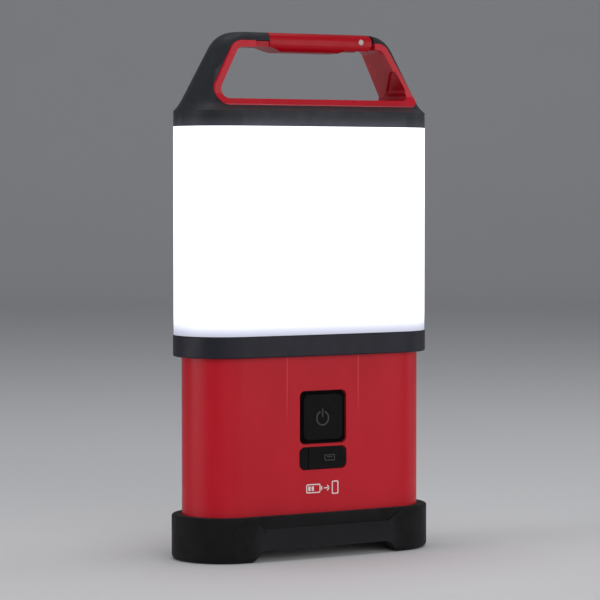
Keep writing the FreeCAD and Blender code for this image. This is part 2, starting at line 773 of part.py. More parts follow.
def heat_sink():
    """Aluminium column: an upright plate with a foot and a head flange."""
    body = new_body("heat_sink_body")
    thick = d.column_thick / 2
    low, high = FOOT_LOW, PLATE_HIGH - 0.1
    box_pad(body, "sink_plate", -d.column_half, d.column_half, -thick, thick, low, high)
    for name, z0, z1 in (("sink_foot", low, low + 2), ("sink_head", high - 2, high)):
        box_pad(body, name, -d.column_half, d.column_half, -d.foot_half, d.foot_half, z0, z1, 0.5)
    post_cut(body, "sink_tie_holes", TIES, 1.8, low - 1, high + 1)
    post_cut(body, "sink_cable_hole", [(0, -12)], 4, low - 1, low + 3)
    return keep(body, "heat_sink")


def tie_screws(name, head_low, up):
    """Four screws through the column's flange into the posts above or below."""
    shapes = []
    for x, y in TIES:
        if up:
            shapes.append(screw_shape(x.value, y.value, head_low - 1.8, head_low, head_low + 11, 1.5, 3))
        else:
            shapes.append(screw_shape(x.value, y.value, head_low, head_low + 1.8, head_low - 22, 1.5, 3))
    return keep_shape(name, Part.makeCompound(shapes))


BOARD_LOW = FOOT_LOW + 6
BOARD_HIGH = PLATE_HIGH - 6
LED_COLUMNS = 7
LED_ROWS = 6


def led_board(name, side):
    body = new_body(f"{name}_body")
    near = d.column_thick / 2 * side
    far = near + 1.2 * side
    y0, y1 = sorted((near, far), key=lambda v: v.value)
    box_pad(body, f"{name}_sheet", -d.column_half + 3, d.column_half - 3, y0, y1, BOARD_LOW, BOARD_HIGH, 2)
    return keep(body, name)


def leds(name, side):
    """A grid of surface-mount LEDs on one board."""
    shapes = []
    face = (d.column_thick / 2 + 1.2).value
    width = 2 * (d.column_half.value - 11)
    height = (BOARD_HIGH - BOARD_LOW).value - 16
    for i in range(LED_COLUMNS):
        for j in range(LED_ROWS):
            x = -width / 2 + width * i / (LED_COLUMNS - 1)
            z = BOARD_LOW.value + 8 + height * j / (LED_ROWS - 1)
            y = face if side > 0 else -face - 0.8
            chip = Part.makeBox(5.6, 0.8, 3, Vector(x - 2.8, y, z - 1.5))
            shapes.append(chip)
    return keep_shape(name, Part.makeCompound(shapes))


def led_cable():
    """Two leads from the control board up through the deck to the LED boards."""
    shapes = []
    wire = 0.8
    bend = 14.0
    for x in (-1.4, 1.4):
        start = Vector(x, -12.5, 106)
        turn = Vector(x, -12.5, 120)
        end = Vector(x, -4.2, 132)
        shapes.append(cable_run([start, turn, end], bend, wire))
    return keep_shape("led_cable", Part.makeCompound(shapes))


def cable_run(points, radius, wire):
    """A round tube along straight runs joined by tangent arcs."""
    edges = []
    here = points[0]
    for before, corner, after in zip(points, points[1:], points[2:]):
        back = (before - corner).normalize()
        on = (after - corner).normalize()
        half = back.getAngle(on) / 2
        trim = radius / math.tan(half)
        first, last = corner + back * trim, corner + on * trim
        centre = corner + (back + on).normalize() * (radius / math.sin(half))
        middle = centre + (corner - centre).normalize() * radius
        edges.append(Part.LineSegment(here, first).toShape())
        edges.append(Part.Arc(first, middle, last).toShape())
        here = last
    edges.append(Part.LineSegment(here, points[-1]).toShape())
    path = Part.Wire(edges)
    along = points[1] - points[0]
    ring = Part.Wire(Part.makeCircle(wire, points[0], along))
    tube = path.makePipeShell([ring], True, False)
    return tube


def battery_cable():
    """Two leads from the roof contacts to the control board."""
    shapes = []
    roof = (ROOF + d.roof_thick).value
    for x in (-9.0, 9.0):
        points = [Vector(x, -3, roof), Vector(x, -3, roof + 9), Vector(x, -14.4, roof + 14)]
        shapes.append(cable_run(points, 5.0, 0.8))
    return keep_shape("battery_cable", Part.makeCompound(shapes))


# ---------------------------------------------------------------- handle cap


def end_reach(height):
    """Half width of the cap at a height: a straight slope, then the round top corner."""
    slope_top = d.top - d.corner_radius
    reach = d.end_centre + d.end_radius + d.lens_growth - d.end_slope * (height - d.shoulder)
    tilt = (1 + d.end_slope * d.end_slope).root()
    centre = d.end_centre + d.end_radius + d.lens_growth - d.end_slope * (slope_top - d.shoulder) \
        - d.corner_radius * tilt
    tangent = slope_top + d.corner_radius * d.end_slope / tilt
    if height.value <= tangent.value:
        return reach
    up = height - slope_top
    return centre + (d.corner_radius * d.corner_radius - up * up + 0.001).root()


def half_depth(height):
    """Half thickness of the cap: wide at the shoulder, sweeping in to a slim neck, round on top."""
    neck = d.neck_half - d.neck_taper * (height - d.shoulder)
    start = d.end_radius + d.lens_growth
    above = 1 - (height - d.shoulder) / d.flare_rise
    if above.value > 0:
        return neck + (start - d.neck_half) * above * above * above.root()
    drop = height - (d.top - d.crown_radius)
    if drop.value > 0:
        return neck - d.crown_radius + (d.crown_radius * d.crown_radius - drop * drop + 0.3).root()
    return neck


def cap_loft(body, name, heights):
    """Loft the cap through ovals at the given heights."""
    sections = []
    for i, height in enumerate(heights):
        end = half_depth(height)
        sketch = new_sketch(body, f"{name}_{i}", "XY_Plane", height)
        draw_oval(sketch, end_reach(height) - end, end, d.side_radius + d.lens_growth)
        sections.append(sketch)
    loft = body.newObject("PartDesign::AdditiveLoft", name)
    loft.Profile = sections[0]
    loft.Sections = sections[1:]
    loft.Ruled = True
    return loft


def opening_corners(inset, low, lean_low):
    """The handle opening: a trapezium with sloping sides; inset shrinks it."""
    side = inset * (1 + d.lip_slope * d.lip_slope).root()
    bottom = d.lip_bottom + inset
    ceiling = d.nose_bottom - inset

    def reach(height):
        return d.lip_half_bottom - d.lip_slope * (height - d.lip_bottom) - side

    return [
        (-reach(bottom), bottom, lean_low), (reach(bottom), bottom, low),
        (reach(ceiling), ceiling, 8 - inset * 0.9), (-reach(ceiling), ceiling, 8 - inset * 0.9),
    ]


def top_cap():
    """Rubberised cap: the band over the lens, sweeping up into a slim arched handle."""
    body = new_body("top_cap_body")
    oval_pad(body, "cap_band", d.lens_growth, d.lens_top, d.shoulder)
    flare = [d.shoulder + d.flare_rise * step * step for step in (0, 0.25, 0.4, 0.53, 0.66, 0.8, 1)]
    corner = [d.top - drop for drop in (9.1, 7, 5, 3.6, 2.4, 1.4, 0.7, 0.2, 0)]
    heights = flare + corner
    cap_loft(body, "cap_sweep", heights)
    doc.recompute()
    oval_cut(body, "cap_seat", d.lens_growth - 1.1, d.lens_top - 1, d.lens_top + 7)
    oval_cut(body, "cap_hollow", Length.of(-1), d.lens_top, d.lens_top + 8.4)
    # screw posts hanging from the roof of the band
    post_pad(body, "cap_posts", TIES, 3.6, d.lens_top + 2.4, d.lens_top + 9)
    post_cut(body, "cap_post_holes", TIES, 1.6, d.lens_top, d.lens_top + 10.2)
    opening = front_sketch(body, "cap_opening", -FAR)
    draw_outline(opening, opening_corners(Length.of(0), 3.4, 8.6))
    pocket(body, opening, FAR * 2)
    slot = front_sketch(body, "cap_gate_slot", -FAR)
    draw_rectangle(slot, -d.nose_end, d.hinge_gap, d.grip_bottom, d.top + 9)
    pocket(body, slot, FAR * 2)
    return keep(body, "top_cap")


def cap_plate():
    """Closing plate screwed up under the cap."""
    body = new_body("cap_plate_body")
    low = d.lens_top + 0.1
    oval_pad(body, "plate_sheet", d.lens_growth - d.lens_wall - 0.3, low, low + 2)
    post_cut(body, "plate_tie_holes", TIES, 1.8, low - 1, low + 3)
    return keep(body, "cap_plate")


def handle_liner():
    """Red frame of the opening, with a lip on both faces, a scooped right side and the hinge lug."""
    blank = new_body("liner_blank")
    outline = front_sketch(blank, "liner_outline", 0)
    draw_outline(outline, opening_corners(d.fit_gap, 3.3, 8.5))
    pad(blank, outline, 60, both=True)
    inner = front_sketch(blank, "liner_inner", -40)
    draw_outline(inner, opening_corners(d.lip_width, 2.5, 5))
    pocket(blank, inner, 80)
    # the gap that the gate closes
    gap = front_sketch(blank, "liner_gate_gap", -40)
    draw_rectangle(gap, -d.tongue_end - 0.4, d.hinge_gap - 0.2, d.grip_bottom - 3.5, d.top + 5)
    pocket(blank, gap, 80)
    # finger scoop in the right side: a shallow dish, deepest at the bottom, running out upwards and forwards
    dish = new_body("liner_dish")
    side = d.lip_half_bottom - d.lip_slope * d.dish_floor - d.lip_width - 1.4
    dish_low = d.lip_bottom + d.dish_floor
    across = front_sketch(dish, "dish_outline", -40)
    draw_outline(across, [
        (side - 9, dish_low, 0), (side + d.dish_depth, dish_low, 3),
        (side + d.dish_depth - d.lip_slope * 16, dish_low + 16, 0), (side - 9 - d.lip_slope * 16, dish_low + 16, 0),
    ])
    pad(dish, across, 60, back=True)
    profile = new_body("liner_dish_profile")
    edge = new_sketch(profile, "dish_profile", "YZ_Plane", 0)
    draw_outline(edge, [
        (-40, dish_low - 5, 0), (d.dish_back, dish_low - 5, 0), (d.dish_back, dish_low + 1.5, 4),
        (-9, dish_low + 14, 5), (-40, dish_low + 14, 0),
    ])
    pad(profile, edge, 90)
    scoop = doc.addObject("Part::Common", "liner_scoop")
    scoop.Base = dish
    scoop.Tool = profile
    opened = doc.addObject("Part::Cut", "liner_opened")
    opened.Base = blank
    opened.Tool = scoop
    envelope = new_body("liner_envelope")
    face = new_sketch(envelope, "liner_faces", "YZ_Plane", -90)
    rise_1 = Length.of(6.3)
    rise_2 = d.nose_bottom - d.lip_bottom
    base_half = half_depth(d.lip_bottom + 1.0)
    mid_half = half_depth(d.lip_bottom + rise_1) + 0.6
    top_half = half_depth(d.nose_bottom - 1.0) + 0.6
    draw_outline(face, [
        (-base_half, d.lip_bottom - 2, 0), (base_half, d.lip_bottom - 2, 0), (base_half, d.lip_bottom + 0.6, 1.5),
        (mid_half, d.lip_bottom + rise_1, 0), (top_half, d.lip_bottom + rise_2 + 1, 0),
        (-top_half, d.lip_bottom + rise_2 + 1, 0), (-mid_half, d.lip_bottom + rise_1, 0),
        (-base_half, d.lip_bottom + 0.6, 1.5),
    ])
    pad(envelope, face, 180)
    frame = doc.addObject("Part::Common", "liner_frame")
    frame.Base = opened
    frame.Tool = envelope
    lug = new_body("liner_lug")
    sketch = front_sketch(lug, "lug_outline", 0)
    draw_outline(sketch, [
        (d.pin_out - 4.2, d.pin_height - 3.2, 3), (d.hinge_gap + 3, d.pin_height - 3.2, 0),
        (d.hinge_gap + 3, d.nose_bottom - 0.4, 0), (d.hinge_gap - 0.2, d.nose_bottom - 0.4, 0),
        (d.pin_out + 5, d.nose_bottom + 2.4, 1), (d.pin_out - 4.2, d.pin_height + 4.2, 3),
    ])
    pad(lug, sketch, 4.4, both=True)
    hole = front_sketch(lug, "lug_hole", -9)
    draw_circle(hole, d.pin_out, d.pin_height, d.pin_radius + d.running_gap)
    pocket(lug, hole, 18)
    whole = doc.addObject("Part::Fuse", "liner_whole")
    whole.Base = frame
    whole.Tool = lug
    return keep(whole, "handle_liner")


def gate():
    """Spring gate of the carabiner handle: a rounded bar with a stop tongue and a forked hinge end."""
    body = new_body("gate_body")
    left = -d.nose_end + 0.5
    right = d.pin_out + 7.3
    bar = new_sketch(body, "gate_bar", "YZ_Plane", left)
    draw_rectangle(bar, -d.grip_half, d.grip_half, d.grip_bottom, d.top, 4.4)
    pad(body, bar, right - left)
    tongue_top = d.nose_bottom - d.moving_gap
    box_pad(body, "gate_tongue", -d.tongue_end, left + 12, -9.2, 9.2, d.nose_bottom - d.lip_width + 0.3,
            tongue_top, 0.8)
    heel = front_sketch(body, "gate_heel", -30)
    rise = d.nose_bottom - d.lip_width + 0.3
    draw_outline(heel, [
        (left - 3, d.grip_bottom - 3, 0), (left + 14, d.grip_bottom - 3, 0), (left + 9, d.grip_bottom, 9),
        (left + 1, rise, 4), (left - 3, rise, 0),
    ])
    pocket(body, heel, 60)
    step = front_sketch(body, "gate_step", -30)
    draw_outline(step, [
        (20, d.grip_bottom - 3, 0), (right + 3, d.grip_bottom - 3, 0), (right + 3, d.grip_bottom + 1.7, 0),
        (24, d.grip_bottom + 1.7, 4), (20.5, d.grip_bottom, 2),
    ])
    pocket(body, step, 60)
    # round the hinge end about the pin
    ball = new_body("gate_round_tool")
    box_pad(ball, "round_block", d.pin_out, right + 4, -30, 30, d.grip_bottom - 4, d.top + 4)
    hub = front_sketch(ball, "round_hub", -31)
    draw_circle(hub, d.pin_out, d.pin_height, 7.3)
    pocket(ball, hub, 62)
    fork = new_body("gate_fork_tool")
    box_pad(fork, "fork_slot", d.pin_out - 5.7, right + 4, -5, 5, d.grip_bottom - 4, d.top + 4)
    bore = front_sketch(fork, "fork_bore", -20)
    draw_circle(bore, d.pin_out, d.pin_height, d.pin_radius)
    pad(fork, bore, 40, back=True)
    tools = doc.addObject("Part::Fuse", "gate_tools")
    tools.Base = ball
    tools.Tool = fork
    whole = doc.addObject("Part::Cut", "gate_whole")
    whole.Base = body
    whole.Tool = tools
    return keep(whole, "gate")


def gate_pin():
    """Steel rivet through the gate's fork, with a low domed head on each face."""
    body = new_body("gate_pin_body")
    shaft = front_sketch(body, "pin_shaft", -d.grip_half)
    draw_circle(shaft, d.pin_out, d.pin_height, d.pin_radius)
    pad(body, shaft, d.grip_half * 2, back=True)
    for name, y0 in (("pin_head_front", -d.grip_half - 0.25), ("pin_head_back", d.grip_half)):
        head = front_sketch(body, name, y0)
        draw_circle(head, d.pin_out, d.pin_height, d.pin_radius + 0.35)
        pad(body, head, 0.25, back=True)
    return keep(body, "gate_pin")


def gate_spring():
    """Torsion spring coiled round the pin beside the lug; one leg lifts the gate."""
    wire = 0.4
    coil_radius = 2.4
    turns = 2.0
    pitch = 0.85
    spiral = Part.makeHelix(pitch, pitch * turns, coil_radius)
    along = spiral.Edges[0].tangentAt(spiral.Edges[0].FirstParameter)
    ring = Part.Wire(Part.makeCircle(wire, spiral.Vertexes[0].Point, along))
    coil = Part.Wire(spiral.Edges).makePipeShell([ring], True, True)
    start = Vector(coil_radius, 0, 0)
    leg = Part.makeCylinder(wire, 4.0, start, Vector(0, -1, 0))
    spring = coil.fuse(leg).Solids[0]
    spring.rotate(Vector(), Vector(1, 0, 0), -90)
    spring.translate(Vector(d.pin_out.value, 2.85, d.pin_height.value))
    return keep_shape("gate_spring", Part.makeCompound([spring]))


# ---------------------------------------------------------------- build, check and write

base_boot()
battery_door()
door_gasket()
door_screw("door_screw_left", -1)
door_screw("door_screw_right", 1)
body_shell()
battery_cage()
for number in range(4):
    battery_cell(number)
contact_plates("door_contacts", DOOR_TOP, [(0, 1), (2, 3)])
contact_plates("roof_contacts", ROOF - d.plate_thick, [(0, 0), (1, 2), (3, 3)])
contact_springs("door_springs", CELL_FLOOR, (0, 2), False)
contact_springs("roof_springs", ROOF - d.plate_thick, (1, 3), True)
cage_screws()
button_frame()
power_button()
usb_cover()
usb_cover_anchor()
usb_socket()
usb_board()
control_board()
board_screws()
tact_switch()
board_parts()
collar_ring()
oval_ring("collar_gasket", Length.of(-0.2), -d.shell_wall + 0.2, RIM - 1, RIM)
oval_ring("lens_seal_lower", d.lens_growth - 1.25, d.lens_growth - d.lens_wall + 0.1, DECK, DECK + 1)
oval_ring("lens_seal_upper", d.lens_growth - 1.25, d.lens_growth - d.lens_wall + 0.1,
          d.lens_top + 6, d.lens_top + 7)
lens()
reflector("lower_reflector", PLATE_LOW)
reflector("upper_reflector", PLATE_HIGH)
heat_sink()
tie_screws("collar_screws", (FOOT_LOW + 2).value, False)
tie_screws("cap_screws", (PLATE_HIGH - 2.1).value, True)
led_board("led_board_front", -1)
led_board("led_board_rear", 1)
leds("leds_front", -1)
leds("leds_rear", 1)
led_cable()
battery_cable()
top_cap()
cap_plate()
handle_liner()
gate()
gate_pin()
gate_spring()
doc.recompute()

faults = [f"{o.Name}: {o.State}" for o in doc.Objects if "Invalid" in o.State or "Error" in o.State]
for piece in pieces:
    if piece.Shape.isNull() or not piece.Shape.isValid() or not piece.Shape.Solids:
        faults.append(f"{piece.Label}: bad shape")
if faults:
    raise RuntimeError("; ".join(faults))
os.makedirs("parts", exist_ok=True)
for piece in pieces:
    piece.Shape.exportStep(f"parts/{piece.Label}.step")
print(len(pieces), "pieces written")
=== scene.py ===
"""A camping lantern around its CAD frame: materials, small moulded details, studio and camera."""

import math

import bmesh
import bpy
from mathutils import Matrix, Vector


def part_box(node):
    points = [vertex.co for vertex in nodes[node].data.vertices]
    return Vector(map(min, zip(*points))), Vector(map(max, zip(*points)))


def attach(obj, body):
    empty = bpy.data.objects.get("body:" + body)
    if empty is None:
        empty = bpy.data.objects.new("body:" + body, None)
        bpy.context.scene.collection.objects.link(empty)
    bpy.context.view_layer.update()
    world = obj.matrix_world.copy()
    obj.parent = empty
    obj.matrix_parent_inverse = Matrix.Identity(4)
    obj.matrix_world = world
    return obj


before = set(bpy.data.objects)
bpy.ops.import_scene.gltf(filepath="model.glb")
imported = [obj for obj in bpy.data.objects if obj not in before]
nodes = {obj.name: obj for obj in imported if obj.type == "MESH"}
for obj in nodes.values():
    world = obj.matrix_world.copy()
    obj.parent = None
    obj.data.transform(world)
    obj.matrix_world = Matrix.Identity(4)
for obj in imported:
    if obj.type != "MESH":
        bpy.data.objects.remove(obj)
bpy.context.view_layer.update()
MM = 0.001
FLAT_POINTINESS = 0.5


# ---------------------------------------------------------------- node helpers


class Look:
    """A procedural material with helpers that add nodes to it, in the object's own metres."""

    def __init__(self, name, colour, roughness, metallic=0.0, specular=0.5, coat=0.0, coat_roughness=0.1):
        self.material = bpy.data.materials.new(name)
        self.material.use_nodes = True
        self.tree = self.material.node_tree
        self.shader = self.tree.nodes["Principled BSDF"]
        self.set("Base Color", (*colour, 1))
        self.set("Roughness", roughness)
        self.set("Metallic", metallic)
        self.set("Specular IOR Level", specular)
        self.set("Coat Weight", coat)
        self.set("Coat Roughness", coat_roughness)
        self.material.diffuse_color = (*colour, 1)
        self.place = self.tree.nodes.new("ShaderNodeTexCoord").outputs["Object"]
        self.height = None

    def set(self, socket, value):
        self.shader.inputs[socket].default_value = value

    def link(self, output, socket):
        self.tree.links.new(output, socket)

    def feed(self, socket, output):
        self.link(output, self.shader.inputs[socket])

    def stretched(self, x, y, z):
        mapping = self.tree.nodes.new("ShaderNodeMapping")
        mapping.inputs["Scale"].default_value = (x, y, z)
        self.link(self.place, mapping.inputs["Vector"])
        return mapping.outputs["Vector"]

    def noise(self, size, detail=3.0, rough=0.5, stretch=(1, 1, 1)):
        """Noise whose blotches are about that many millimetres across."""
        node = self.tree.nodes.new("ShaderNodeTexNoise")
        node.inputs["Scale"].default_value = 1 / (size * MM)
        node.inputs["Detail"].default_value = detail
        node.inputs["Roughness"].default_value = rough
        self.link(self.stretched(*stretch), node.inputs["Vector"])
        return node.outputs["Fac"]

    def cells(self, size):
        node = self.tree.nodes.new("ShaderNodeTexVoronoi")
        node.inputs["Scale"].default_value = 1 / (size * MM)
        self.link(self.place, node.inputs["Vector"])
        return node.outputs["Distance"]

    def math(self, operation, a, b=0.0, c=0.0, clamp=False):
        node = self.tree.nodes.new("ShaderNodeMath")
        node.operation = operation
        node.use_clamp = clamp
        for socket, value in zip(node.inputs, (a, b, c)):
            if isinstance(value, (int, float)):
                socket.default_value = value
            else:
                self.link(value, socket)
        return node.outputs[0]

    def fit(self, value, low, high, first=0.0, last=1.0, smooth=False):
        node = self.tree.nodes.new("ShaderNodeMapRange")
        node.interpolation_type = "SMOOTHSTEP" if smooth else "LINEAR"
        self.link(value, node.inputs["Value"])
        for name, number in (("From Min", low), ("From Max", high), ("To Min", first), ("To Max", last)):
            node.inputs[name].default_value = number
        return node.outputs["Result"]

    def axis(self, name):
        node = self.tree.nodes.new("ShaderNodeSeparateXYZ")
        self.link(self.place, node.inputs["Vector"])
        return node.outputs[name]

    def blend(self, share, first, second):
        """A colour between two colours or colour outputs."""
        node = self.tree.nodes.new("ShaderNodeMix")
        node.data_type = "RGBA"
        self.link(share, node.inputs["Factor"])
        colours = [s for s in node.inputs if s.type == "RGBA"]
        for socket, value in zip(colours, (first, second)):
            if isinstance(value, tuple):
                socket.default_value = (*value, 1)
            else:
                self.link(value, socket)
        return [s for s in node.outputs if s.type == "RGBA"][0]

    def edges(self):
        """One along the outside edges of the shape and nothing on its flats."""
        node = self.tree.nodes.new("ShaderNodeNewGeometry")
        low, high = FLAT_POINTINESS + 0.004, FLAT_POINTINESS + 0.12
        return self.fit(node.outputs["Pointiness"], low, high, smooth=True)

    def bump(self, height, distance, strength=1.0):
        """Adds a relief of that many millimetres on top of the earlier ones."""
        node = self.tree.nodes.new("ShaderNodeBump")
        node.inputs["Distance"].default_value = distance * MM
        node.inputs["Strength"].default_value = strength
        self.link(height, node.inputs["Height"])
        if self.height is not None:
            self.link(self.height, node.inputs["Normal"])
        self.height = node.outputs["Normal"]
        self.feed("Normal", self.height)


# ---------------------------------------------------------------- materials


def rubber(name, dark, light, grain, roughness, relief, specular=0.22):
    """Moulded rubber or soft-touch skin: fine grain, dusty patches, slightly polished edges."""
    look = Look(name, dark, roughness, specular=specular)
    dust = look.fit(look.noise(9, 5, 0.62), 0.38, 0.72)
    speck = look.fit(look.noise(0.9, 2), 0.45, 0.75)
    share = look.math("MULTIPLY_ADD", speck, 0.35, look.math("MULTIPLY", dust, 0.65), clamp=True)
    worn = look.blend(look.edges(), look.blend(share, dark, light), tuple(c * 1.9 for c in light))
    look.feed("Base Color", worn)
    look.feed("Roughness", look.fit(look.noise(5, 4), 0.3, 0.7, roughness - 0.07, roughness + 0.08))
    look.bump(look.noise(grain, 3, 0.55), relief)
    look.bump(look.cells(grain * 2.6), relief * 0.5)
    look.set("Sheen Weight", 0.03)
    look.set("Sheen Roughness", 0.5)
    return look


def cap_skin_with_painted_glow():
    """The cap's rubber, with painted light: a faint emission on the last millimetres of its rim, standing in
    for the lamp's light falling on it.
    """
    look = rubber("cap_rubber", (0.013, 0.014, 0.018), (0.021, 0.022, 0.028), 0.55, 0.50, 0.022)
    rim_low, rim_high = 0.2430, 0.2490
    # painted light: this emission on the rubber rim stands in for the lens's light falling on it
    glow = look.fit(look.axis("Z"), rim_high, rim_low, 0.0, 0.03, smooth=True)
    look.set("Emission Color", (0.72, 0.78, 1.0, 1))
    look.feed("Emission Strength", glow)
    return look


def moulded(name, first, second, roughness, relief=0.006, coat=0.0, specular=0.5):
    """Injection-moulded plastic: a faint flow in the colour, spark-eroded texture and uneven gloss."""
    look = Look(name, first, roughness, specular=specular, coat=coat, coat_roughness=0.16)
    flow = look.fit(look.noise(26, 3, 0.55, (1, 1, 0.35)), 0.35, 0.68)
    speck = look.fit(look.noise(0.7, 2), 0.52, 0.8)
    share = look.math("MULTIPLY_ADD", speck, 0.25, look.math("MULTIPLY", flow, 0.75), clamp=True)
    look.feed("Base Color", look.blend(share, first, second))
    look.feed("Roughness", look.fit(look.noise(7, 4), 0.3, 0.7, roughness - 0.04, roughness + 0.06))
    look.bump(look.noise(0.32, 2), relief)
    return look


def red_shell():
    """The housing's satin red, with the two faint upright lines its mould leaves on each broad side."""
    look = moulded("red_shell", (0.46, 0.006, 0.016), (0.52, 0.009, 0.021), 0.36, 0.005, specular=0.17)
    line_from_middle = 0.0235
    off = look.math("SUBTRACT", look.math("ABSOLUTE", look.axis("X")), line_from_middle)
    line = look.fit(look.math("ABSOLUTE", off), 0.00015, 0.0006, 1.0, 0.0, smooth=True)
    fade_low, fade_high = 0.068, 0.104
    fading = look.fit(look.axis("Z"), fade_low, fade_high, smooth=True)
    seam = look.math("MULTIPLY", line, fading)
    painted = look.shader.inputs["Base Color"].links[0].from_socket
    look.feed("Base Color", look.blend(look.math("MULTIPLY", seam, 0.35), painted, (0.85, 0.10, 0.12)))
    look.bump(seam, 0.05, 0.7)
    return look


def frosted_lens():
    """The lit diffuser: white all over, cooler and dimmer in the few millimetres above the collar."""
    look = Look("frosted_lens", (0.50, 0.51, 0.54), 0.42, specular=0.3)
    foot, lit_low, lit_high, rim = 0.1245, 0.1385, 0.2415, 0.2440
    half_flat, half_width = 0.0740, 0.0789
    glow = 1.4
    height = look.axis("Z")
    rise = look.fit(height, foot, lit_low, smooth=True)
    fall = look.fit(height, rim, lit_high, smooth=True)
    lamp = look.math("MULTIPLY", rise, look.math("MULTIPLY_ADD", fall, 0.3, 0.7))
    round_end = look.fit(look.math("ABSOLUTE", look.axis("X")), half_width, half_flat, 0.8, 1.0, smooth=True)
    cloud = look.fit(look.noise(40, 3), 0.3, 0.7, 0.95, 1.03)
    level = look.math("MULTIPLY", look.math("MULTIPLY", lamp, round_end), cloud)
    look.feed("Emission Color", look.blend(lamp, (0.62, 0.66, 0.95), (0.985, 0.99, 1.0)))
    look.feed("Emission Strength", look.fit(level, 0.0, 1.0, 0.22, glow))
    look.bump(look.noise(0.5, 2), 0.004)
    return look


def metal(name, colour, roughness, brushed=(1, 1, 1), size=1.2):
    look = Look(name, colour, roughness, metallic=1.0)
    grain = look.noise(size, 4, 0.6, brushed)
    look.feed("Base Color", look.blend(look.fit(grain, 0.3, 0.7), tuple(c * 0.86 for c in colour), colour))
    look.feed("Roughness", look.fit(grain, 0.3, 0.7, roughness - 0.07, roughness + 0.1))
    look.bump(grain, 0.003)
    return look


def circuit_board(name, mask, copper):
    """Solder mask with traces showing faintly through it."""
    look = Look(name, mask, 0.35, coat=0.3)
    squares = look.tree.nodes.new("ShaderNodeTexBrick")
    squares.inputs["Scale"].default_value = 160
    squares.inputs["Mortar Size"].default_value = 0.03
    look.link(look.place, squares.inputs["Vector"])
    traces = look.math("MULTIPLY", squares.outputs["Fac"], look.fit(look.noise(8, 1), 0.45, 0.55))
    look.feed("Base Color", look.blend(traces, mask, copper))
    look.bump(traces, 0.03)
    return look


LOOKS = {
    "black_rubber": rubber(
        "base_rubber", (0.003, 0.003, 0.0035), (0.007, 0.007, 0.008), 0.45, 0.62, 0.030, 0.12),
    "button_rubber": rubber(
        "button_rubber", (0.0025, 0.0025, 0.003), (0.004, 0.004, 0.0045), 0.35, 0.66, 0.012, 0.10),
    # painted shade: a near-black, dull copy of the button's rubber for the button frame, standing in for the
    # shadow in the gap round the button
    "painted_shade_rubber": rubber(
        "painted_shade_rubber", (0.0008, 0.0008, 0.0008), (0.0014, 0.0014, 0.0014), 0.35, 0.85, 0.010, 0.04),
    "cap_rubber": cap_skin_with_painted_glow(),
    "seal_rubber": rubber("seal_rubber", (0.02, 0.02, 0.02), (0.03, 0.03, 0.032), 0.3, 0.7, 0.01),
    "black_plastic": moulded(
        "collar_plastic", (0.010, 0.010, 0.017), (0.015, 0.015, 0.024), 0.45, 0.010, specular=0.22),
    "red_plastic": red_shell(),
    "red_gloss": moulded(
        "liner_red", (0.46, 0.004, 0.016), (0.53, 0.008, 0.022), 0.30, 0.003, coat=0.06, specular=0.3),
    # painted shade: a darker, less shiny copy of the liner's red for the gate, standing in for the shade on
    # its front
    "gate_red_painted_shade": moulded("gate_red_painted_shade", (0.38, 0.001, 0.008), (0.42, 0.002, 0.010), 0.34, 0.003, specular=0.16),
    "grey_plastic": moulded("cage_plastic", (0.16, 0.165, 0.17), (0.2, 0.2, 0.21), 0.5),
    "white_plastic": moulded("reflector_white", (0.78, 0.79, 0.8), (0.84, 0.84, 0.84), 0.35),
    "frosted_lens": frosted_lens(),
    "cell_sleeve": moulded("cell_sleeve", (0.02, 0.07, 0.2), (0.03, 0.09, 0.24), 0.28, 0.002, coat=0.5),
    "nickel": metal("nickel", (0.78, 0.74, 0.68), 0.26),
    "steel": metal("steel", (0.70, 0.70, 0.71), 0.26, (1, 1, 6), 0.8),
    "pin_steel": metal("pin_steel", (0.40, 0.33, 0.33), 0.5, (1, 1, 1), 0.6),
    "aluminium": metal("aluminium", (0.76, 0.77, 0.78), 0.38, (1, 1, 0.1), 0.5),
    "board_green": circuit_board("board_green", (0.01, 0.11, 0.04), (0.04, 0.25, 0.08)),
    "board_white": circuit_board("board_white", (0.75, 0.76, 0.76), (0.6, 0.6, 0.58)),
    "led_phosphor": moulded("led_phosphor", (0.9, 0.62, 0.12), (0.95, 0.7, 0.2), 0.3, 0.002, coat=0.4),
    "cable_jacket": moulded("cable_jacket", (0.35, 0.02, 0.02), (0.4, 0.03, 0.03), 0.42, 0.004),
    "mark": moulded("raised_mark", (0.012, 0.012, 0.014), (0.017, 0.017, 0.02), 0.45, 0.004),
    "print": moulded("white_print", (0.72, 0.62, 0.62), (0.8, 0.7, 0.7), 0.5, 0.002),
}

OWN_LOOK = {
    "power_button": "button_rubber",
    "usb_cover": "button_rubber",
    "usb_cover_anchor": "button_rubber",
    # painted shade: the frame's darker rubber stands in for the shadow round the button
    "button_frame": "painted_shade_rubber",
    # painted shade: the gate gets the darker copy of the liner's red
    "gate": "gate_red_painted_shade",
    "gate_pin": "pin_steel",
}
for name, piece in nodes.items():
    for slot in piece.material_slots:
        slot.material = LOOKS[OWN_LOOK.get(name, slot.material.name.split(".")[0])].material


# ---------------------------------------------------------------- rounded CAD edges

ROUNDED = {
    "collar_ring": 0.5,
    "top_cap": 0.5,
    "handle_liner": 0.8,
    "gate": 0.6,
    "gate_pin": 0.35,
    "battery_door": 0.4,
    "door_screw_left": 0.25,
    "door_screw_right": 0.25,
    "usb_cover": 0.25,
    "usb_cover_anchor": 0.25,
    "button_frame": 0.25,
}

# these two are curved all over, so their flats aren't dissolved
CURVED = ("collar_ring", "top_cap")

